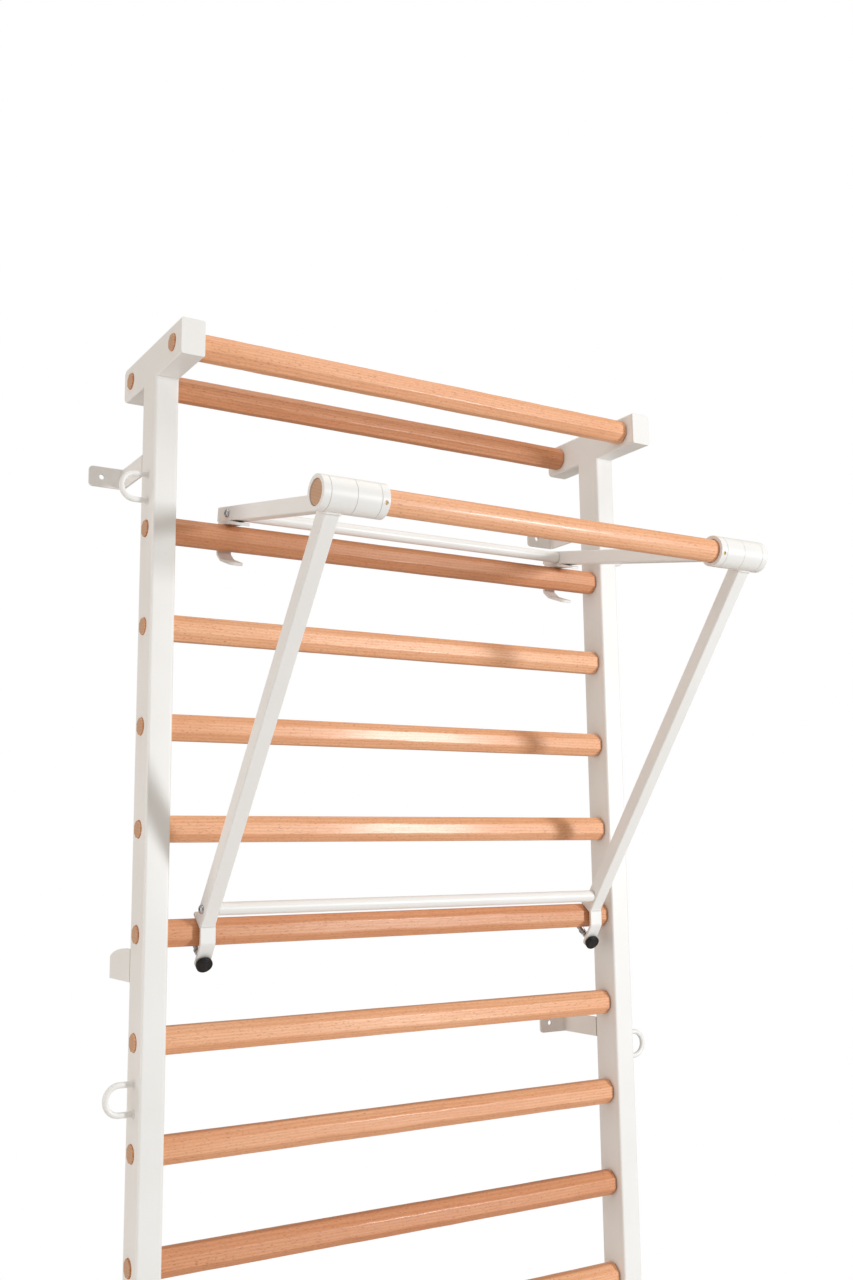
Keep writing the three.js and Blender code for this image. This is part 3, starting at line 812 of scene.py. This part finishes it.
for place, tab in BRACKET_TABS.items():
    node = f"wall-bracket-{place}"
    low, high = box_mm(node)
    middle = (low + high) / 2
    sheet_x = high.x - BRACKET_SHEET / 2 if tab < 0 else low.x + BRACKET_SHEET / 2
    tab_end = low.x if tab < 0 else high.x
    height = high.z - low.z
    # The path is in x and y, and the width runs along z.
    corners = [(sheet_x, low.y), (sheet_x, high.y - BRACKET_SHEET / 2), (tab_end, high.y - BRACKET_SHEET / 2)]
    swept_off = place == SWEPT_BRACKET

    def trim(point, upper=height / 2):
        """The upper corner next to the wall is swept off in a quarter of an ellipse."""
        into = min(max((point.y - 1 + SWEEP_DEPTH) / SWEEP_DEPTH, 0.0), 1.0)
        return upper - SWEEP_DROP * (1 - math.sqrt(1 - into ** 2))

    shape = strip(
        corners, Matrix.Translation((0, 0, middle.z)), height, BRACKET_SHEET, BRACKET_BEND,
        (0.0, BRACKET_END), 0.6, trim if swept_off else None,
    )
    piece = object_from(shape, f"{node}-strip")
    hole_z = middle.z - (SWEPT_HOLE_DROP if swept_off else 0)
    drill_matrix = Matrix.Translation((sheet_x + tab * BRACKET_HOLE_OUT, -12, hole_z)) @ ALONG_Y_FLIPPED
    carve(piece, prism(circle(BRACKET_HOLE, 40), 24, drill_matrix, SQUARE_ENDS))
    show(piece, node, PAINT)
    # A weld on each side of the sheet that has the upright behind it.
    for k, across in enumerate((-1, 1)):
        x = sheet_x + across * (BRACKET_SHEET / 2 + 0.4)
        line = [Vector((x, low.y - 0.4, low.z + 2)), Vector((x, low.y - 0.4, high.z - 2))]
        upright_low, upright_high = box_mm("upright-left" if sheet_x < 0 else "upright-right")
        if upright_low.x < x < upright_high.x:
            show_weld(weld(line, 1.7, 40 + k + len(place)), f"weld-{node}-{k + 1}", node)

# ---------------------------------------------------------------- hook-on bar: grip, rings and sleeves

grip = Vector(JOINTS["grip_turn"]["pos_m"]) / MM
bar_low, bar_high = box_mm("grip-bar")
grip_radius = (bar_high.z - bar_low.z) / 2
show(
    prism(circle(grip_radius, 72), bar_high.x - bar_low.x, along_x(bar_low.x, grip.y, grip.z), (0.8, 0.8)),
    "grip-bar", WOOD["grip-bar"], "wood",
)

arm_cross = centre_mm("cross-tube-upper")
strut_cross = centre_mm("cross-tube-lower")
arm_direction = Vector((0, arm_cross.y - grip.y, arm_cross.z - grip.z)).normalized()
strut_direction = Vector((0, strut_cross.y - grip.y, strut_cross.z - grip.z)).normalized()


def stand(origin, direction):
    """A frame with z along a direction in the y-z plane and x along the row's x."""
    side = direction.cross(X)
    return Matrix((
        (X.x, side.x, direction.x, origin.x),
        (X.y, side.y, direction.y, origin.y),
        (X.z, side.z, direction.z, origin.z),
        (0, 0, 0, 1),
    ))


def bolt(node, sign):
    """A button-head screw with a hexagon socket, head outwards."""
    low, high = box_mm(node)
    middle = (low + high) / 2
    head_radius = (high.z - low.z) / 2
    tip = low.x if sign > 0 else high.x
    length = high.x - low.x
    turn = Matrix(((0, 0, sign, 0), (sign, 0, 0, 0), (0, 1, 0, 0), (0, 0, 0, 1)))
    matrix = Matrix.Translation((tip, middle.y, middle.z)) @ turn
    seat = length - BOLT_HEAD
    profile = [
        (0, 0), (BOLT_TIP, 0), (BOLT_SHANK, BOLT_SHANK - BOLT_TIP), (BOLT_SHANK, seat),
        (head_radius - 0.5, seat), (head_radius, seat + 0.4),
    ]
    for k in range(1, 9):
        angle = math.radians(90 * k / 8)
        radius = BOLT_TIP + (head_radius - BOLT_TIP) * math.cos(angle)
        profile.append((radius, seat + 0.4 + (BOLT_HEAD - 0.4) * math.sin(angle)))
    profile.append((0, length))
    shape = turned(profile, matrix, 48)
    piece = object_from(shape, f"{node}-screw")
    socket_frame = matrix @ Matrix.Translation((0, 0, length - 2.4))
    carve(piece, prism(circle(BOLT_SOCKET, 6), 3.0, socket_frame, SQUARE_ENDS))
    show(piece, node, ZINC)


for side, sign in SIDES:
    for ring in ("outer", "inner"):
        node = f"end-ring-{ring}-{side}"
        low, high = box_mm(node)
        radius = (high.z - low.z) / 2
        shape = pipe(
            circle(radius, 72), circle(RING_BORE, 72), high.x - low.x, along_x(low.x, grip.y, grip.z), 0.6,
        )
        if ring == "outer":
            show(shape, node, PAINT)
            continue
        piece = object_from(shape, f"{node}-shape")
        screw_direction = Vector((0, -math.cos(SET_SCREW_DROOP), -math.sin(SET_SCREW_DROOP)))
        screw_frame = stand(Vector(((low.x + high.x) / 2, grip.y, grip.z)), screw_direction)
        hole_frame = screw_frame @ Matrix.Translation((0, 0, 12))
        carve(piece, prism(circle(SET_SCREW_HOLE, 32), 20, hole_frame, SQUARE_ENDS))
        show(piece, node, PAINT)

        # Set screw with a cross recess, a little below the ring's surface.
        foot = grip_radius + GAP
        top = radius - SET_SCREW_SUNK
        screw_profile = [
            (0, foot), (SET_SCREW, foot), (SET_SCREW, top - 0.5), (SET_SCREW - 0.5, top), (0, top),
        ]
        screw = object_from(turned(screw_profile, screw_frame, 32), f"set-screw-{side}-screw")
        for angle in (25, 115):
            recess_frame = screw_frame @ Matrix.Translation((0, 0, top - 1.2))
            recess_frame = recess_frame @ Matrix.Rotation(math.radians(angle), 4, "Z")
            carve(screw, prism(rounded_rectangle(3.4, 0.8, 0.2, 2), 3, recess_frame, SQUARE_ENDS))
        show(screw, f"set-screw-{side}", BRASS)

    for part, direction, cross, hook in (
        ("arm", arm_direction, arm_cross, "upper-hook"),
        ("strut", strut_direction, strut_cross, "lower-hook"),
    ):
        node = f"{part}-{side}"
        low, high = box_mm(node)
        x = centre_mm(f"{hook}-{side}").x
        half = FRAME_TUBE / 2
        if part == "arm":
            length = (high.y - grip.y - half * abs(direction.z)) / direction.y
        else:
            length = (grip.z - low.z - half * direction.y) / -direction.z
        radius = grip.y - low.y
        origin = Vector((x, grip.y, grip.z))
        matrix = stand(origin, direction)
        tube = prism(
            rounded_rectangle(FRAME_TUBE, FRAME_TUBE, FRAME_CORNER), length, matrix, (0.0, 0.8),
        )
        piece = object_from(tube, f"{node}-tube")
        hollow = FRAME_TUBE - 2 * FRAME_WALL
        if part == "strut":
            hollow_frame = matrix @ Matrix.Translation((0, 0, 30))
            carve(piece, prism(rounded_rectangle(hollow, hollow, 1.2), length, hollow_frame, SQUARE_ENDS))
        at_cross = origin + direction * (cross - Vector((cross.x, grip.y, grip.z))).length
        bolt_hole_frame = along_x(x + sign * 4 - 10, at_cross.y, at_cross.z)
        carve(piece, prism(circle(BOLT_HOLE, 32), 20, bolt_hole_frame, SQUARE_ENDS))
        sleeve = prism(circle(radius, 72), high.x - low.x, along_x(low.x, grip.y, grip.z), (0.4, 0.4))
        carve(piece, sleeve, "UNION")
        bore_frame = along_x(low.x - 10, grip.y, grip.z)
        carve(piece, prism(circle(SLEEVE_BORE, 72), high.x - low.x + 20, bore_frame, SQUARE_ENDS))
        show(piece, node, PAINT)
        bolt(f"{part}-bolt-{side}", sign)

        # Weld where the square tube meets the round sleeve.
        outline = rounded_rectangle(FRAME_TUBE, FRAME_TUBE, FRAME_CORNER, 4)()
        around = []
        count = len(outline)
        for i, (u, v) in enumerate(outline):
            following = outline[(i + 1) % count]
            # A straight side is divided, so that the bead follows the sleeve's curve.
            parts = 8 if (Vector(following) - Vector((u, v))).length > 5 else 1
            for k in range(parts):
                across = u + (following[0] - u) * k / parts
                up_side = v + (following[1] - v) * k / parts
                around.append(matrix @ Vector((across, up_side, math.sqrt(radius ** 2 - up_side ** 2) + 0.3)))
        show_weld(weld(around, 2.4, 60 + len(part) + sign, closed=True), f"weld-{node}-sleeve", node)

for name, direction in (("cross-tube-upper", arm_direction), ("cross-tube-lower", strut_direction)):
    low, high = box_mm(name)
    middle = (low + high) / 2
    radius = (high.z - low.z) / 2
    inside = circle(radius - CROSS_WALL, 48)
    at = along_x(low.x, middle.y, middle.z)
    show(pipe(circle(radius, 48), inside, high.x - low.x, at, 0.5), name, PAINT)

# ---------------------------------------------------------------- hooks, pins and knobs

top_rung = centre_mm("rung-12")
hooked_rung = centre_mm("rung-08")

arm_slope = math.atan2(arm_direction.z, arm_direction.y)
leg_height = 22.9 + STRIP / 2  # from the rung's axis to the upper leg's middle
arm_up = Vector((-math.sin(arm_slope), math.cos(arm_slope)))
arm_along = Vector((math.cos(arm_slope), math.sin(arm_slope)))
top = Vector((top_rung.y, top_rung.z))
upper_line = [
    top + Vector((-57, 12)),
    top + arm_up * leg_height - arm_along * 26,
    top + arm_up * leg_height + arm_along * 31,
    top + Vector((28.5, -21)),
    top + Vector((13, -34)),
    top + Vector((-30, -49.5)),
]

tilt = math.atan2(strut_direction.y, -strut_direction.z)
jaw_normal = Vector((-math.sin(tilt), math.cos(tilt)))
jaw_along = Vector((math.cos(tilt), math.sin(tilt)))
jaw_height = 22 + STRIP / 2
hooked = Vector((hooked_rung.y, hooked_rung.z))
front_y = hooked_rung.y - 33 + STRIP / 2
jaw_corner = (front_y - hooked_rung.y - jaw_normal.x * jaw_height) / jaw_along.x
leg_along = Vector((math.cos(LEG_SLOPE), -math.sin(LEG_SLOPE)))
leg_foot = Vector((front_y, hooked_rung.z - 17))
lower_line = [
    hooked + jaw_normal * jaw_height + jaw_along * 17,
    hooked + jaw_normal * jaw_height + jaw_along * jaw_corner,
    leg_foot,
    leg_foot + leg_along * LEG_LENGTH,
]
pull = Vector((0, -math.sin(LEG_SLOPE), -math.cos(LEG_SLOPE)))

for side, sign in SIDES:
    x = centre_mm(f"upper-hook-{side}").x
    at = along_x(x, 0, 0)
    show(strip(upper_line, at, STRIP_WIDTH, STRIP, STRIP_BEND, (9.0, 9.0)), f"upper-hook-{side}", PAINT)
    for k, across in enumerate((-1, 1)):
        seam = []
        for along in (-24, 29):
            point = top + arm_up * (leg_height + STRIP / 2 + 0.6) + arm_along * along
            seam.append(Vector((x + across * (FRAME_TUBE / 2 - 1.2), point.x, point.y)))
        show_weld(weld(seam, 1.7, 80 + k + sign), f"weld-upper-hook-{side}-{k + 1}", f"upper-hook-{side}")

    x = centre_mm(f"lower-hook-{side}").x
    at = along_x(x, 0, 0)
    hook = object_from(
        strip(lower_line, at, STRIP_WIDTH, STRIP, STRIP_BEND, (3.0, 9.0)), f"lower-hook-{side}-strip",
    )
    seat = Vector((x, *(leg_foot + leg_along * PIN_AT)))
    pin_frame = stand(seat, pull)
    hole_frame = pin_frame @ Matrix.Translation((0, 0, -10))
    carve(hook, prism(circle(PIN_RADIUS + PIN_PLAY, 32), 20, hole_frame, SQUARE_ENDS))
    show(hook, f"lower-hook-{side}", PAINT)
    strut_low = box_mm(f"strut-{side}")[0]
    end_distance = (grip.z - strut_low.z - FRAME_TUBE / 2 * strut_direction.y) / -strut_direction.z
    strut_frame = stand(Vector((x, grip.y, grip.z)), strut_direction)
    outline = rounded_rectangle(FRAME_TUBE - 1, FRAME_TUBE - 1, FRAME_CORNER, 4)()
    around = [strut_frame @ Vector((u, v, end_distance)) for u, v in outline]
    show_weld(weld(around, 1.6, 90 + sign, closed=True), f"weld-lower-hook-{side}", f"lower-hook-{side}")

    # Pin: z runs out of the leg towards the knob, and the leg's middle is z = 0.
    front = STRIP / 2
    knob_back = front + KNOB_STAND_OFF
    bore_end = knob_back + KNOB_BORE_DEPTH
    pin_top = bore_end - GAP
    collar_front = COLLAR_BACK - COLLAR_THICKNESS
    pin_profile = [
        (0, PIN_TIP), (PIN_RADIUS - 1.2, PIN_TIP), (PIN_RADIUS - 0.35, PIN_TIP + 0.45),
        (PIN_RADIUS, PIN_TIP + 1.4), (PIN_RADIUS, collar_front), (COLLAR_RADIUS - COLLAR_EASE, collar_front),
        (COLLAR_RADIUS, collar_front + COLLAR_EASE), (COLLAR_RADIUS, COLLAR_BACK - COLLAR_EASE),
        (COLLAR_RADIUS - COLLAR_EASE, COLLAR_BACK), (PIN_RADIUS, COLLAR_BACK), (PIN_RADIUS, knob_back - GAP),
        (STEM_RADIUS, knob_back - GAP), (STEM_RADIUS, pin_top), (0, pin_top),
    ]
    show(turned(pin_profile, pin_frame, 40), f"lock-pin-{side}", ZINC)

    # Knob: a rounded rim with a shallow groove round its crown.
    crown = knob_back + KNOB_THICKNESS
    bore = STEM_RADIUS + GAP
    knob_profile = [(0, bore_end), (bore, bore_end), (bore, knob_back), (8.2, knob_back)]
    for k in range(7):
        angle = math.radians(90 * k / 6)
        knob_profile.append((8.6 + 4.6 * math.sin(angle), knob_back + 3.0 - 3.0 * math.cos(angle)))
    for k in range(7):
        angle = math.radians(90 * k / 6)
        knob_profile.append((KNOB_RADIUS - 1.8 + 1.8 * math.cos(angle), crown - 2.4 + 1.9 * math.sin(angle)))
    knob_profile += [
        (10.4, crown - 0.5), (10.1, crown - 0.9), (9.6, crown - 0.9), (9.2, crown - 0.45),
        (5, crown - 0.1), (0, crown),
    ]
    show(turned(knob_profile, pin_frame, 64), f"lock-knob-{side}", PLASTIC)

    # Return spring between the leg and the pin's collar.
    top_of_coil = -front - GAP - SPRING_WIRE
    foot_of_coil = COLLAR_BACK + GAP + SPRING_WIRE
    coil = []
    for i in range(int(SPRING_TURNS * SPRING_STEPS) + 1):
        t = i / (SPRING_TURNS * SPRING_STEPS)
        angle = 2 * math.pi * SPRING_TURNS * t
        # The end turns lie flat.
        climb = (t * SPRING_TURNS - SPRING_END_TURN) / (SPRING_TURNS - 2 * SPRING_END_TURN)
        climb = min(max(climb, 0.0), 1.0)
        coil.append(pin_frame @ Vector((
            SPRING_RADIUS * math.cos(angle), SPRING_RADIUS * math.sin(angle),
            top_of_coil + (foot_of_coil - top_of_coil) * climb,
        )))
    spring = show(swept(coil, SPRING_WIRE, 10), f"pin-spring-{side}", ZINC, "coil")
    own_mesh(spring)

# ---------------------------------------------------------------- camera, light and floor

scene = bpy.context.scene
scene.view_settings.view_transform = "Standard"

FOCAL_PIXELS = 1298.2
IMAGE_HEIGHT = 1280
yaw = math.radians(31.60)
pitch = math.radians(9.396)
roll = math.radians(-0.720)
forward = Vector((math.sin(yaw) * math.cos(pitch), math.cos(yaw) * math.cos(pitch), math.sin(pitch)))
level_right = Vector((math.cos(yaw), -math.sin(yaw), 0))
level_up = level_right.cross(forward)
right = math.cos(roll) * level_right + math.sin(roll) * level_up
up = math.cos(roll) * level_up - math.sin(roll) * level_right
lens = bpy.data.cameras.new("photo-camera")
lens.sensor_width = 36.0
lens.lens = lens.sensor_width * FOCAL_PIXELS / IMAGE_HEIGHT
camera = bpy.data.objects.new("photo-camera", lens)
camera.location = Vector((-1157.3, -2096.1, 1467.2)) * MM
camera.rotation_mode = "QUATERNION"
camera.rotation_quaternion = Matrix((right, up, -forward)).transposed().to_quaternion()
scene.collection.objects.link(camera)
scene.camera = camera


def softbox(name, place, target, size, power, colour=(1, 1, 1)):
    """A rectangular area light that faces a target, in metres."""
    light = bpy.data.lights.new(name, "AREA")
    light.shape = "RECTANGLE"
    light.size, light.size_y = size
    light.energy = power
    light.color = colour
    lamp = bpy.data.objects.new(name, light)
    lamp.location = place
    lamp.rotation_mode = "QUATERNION"
    lamp.rotation_quaternion = (Vector(target) - Vector(place)).to_track_quat("-Z", "Y")
    scene.collection.objects.link(lamp)


softbox("key", (2.3, -4.0, 1.85), (0, -0.2, 1.5), (0.58, 0.77), 118, (0.92, 0.965, 1.0))
softbox("left-fill", (-3.2, -0.9, 1.6), (0, -0.2, 1.4), (1.6, 2.6), 18, (0.86, 0.93, 1.0))
softbox("rear-fill", (-3.0, 0.6, 1.6), (0, -0.2, 1.4), (1.6, 2.6), 24, (1.0, 0.89, 0.8))
softbox("top", (0, -0.8, 4.2), (0, -0.2, 1.4), (2.5, 2.5), 34, (1.0, 0.97, 0.93))

# The camera sees a pure white background, and the object gets a dimmer, slightly warm ambient light.
world = bpy.data.worlds.new("studio")
world.use_nodes = True
scene.world = world
links = world.node_tree.links
nodes = world.node_tree.nodes
ambient = nodes["Background"]
ambient.inputs["Color"].default_value = (1.0, 0.91, 0.8, 1)
ambient.inputs["Strength"].default_value = 0.356
backdrop = nodes.new("ShaderNodeBackground")
backdrop.inputs["Color"].default_value = (1, 1, 1, 1)
backdrop.inputs["Strength"].default_value = 1.0
ray = nodes.new("ShaderNodeLightPath")
choose = nodes.new("ShaderNodeMixShader")
links.new(ray.outputs["Is Camera Ray"], choose.inputs[0])
links.new(ambient.outputs[0], choose.inputs[1])
links.new(backdrop.outputs[0], choose.inputs[2])
links.new(choose.outputs[0], nodes["World Output"].inputs["Surface"])

FLOOR_RADIUS = 2350.0
floor = object_from(
    prism(circle(FLOOR_RADIUS, 128), 10, Matrix.Translation((0, -300, -10.5)), SQUARE_ENDS), "floor",
)
ground = Tree("pale-floor", Roughness=0.7)
patches = ground.noise(ground.coordinates, scale=3.0)
ground.surface(ground.mix(patches, (0.84, 0.84, 0.835, 1), (0.87, 0.87, 0.865, 1)))
floor.data.materials.append(ground.material)
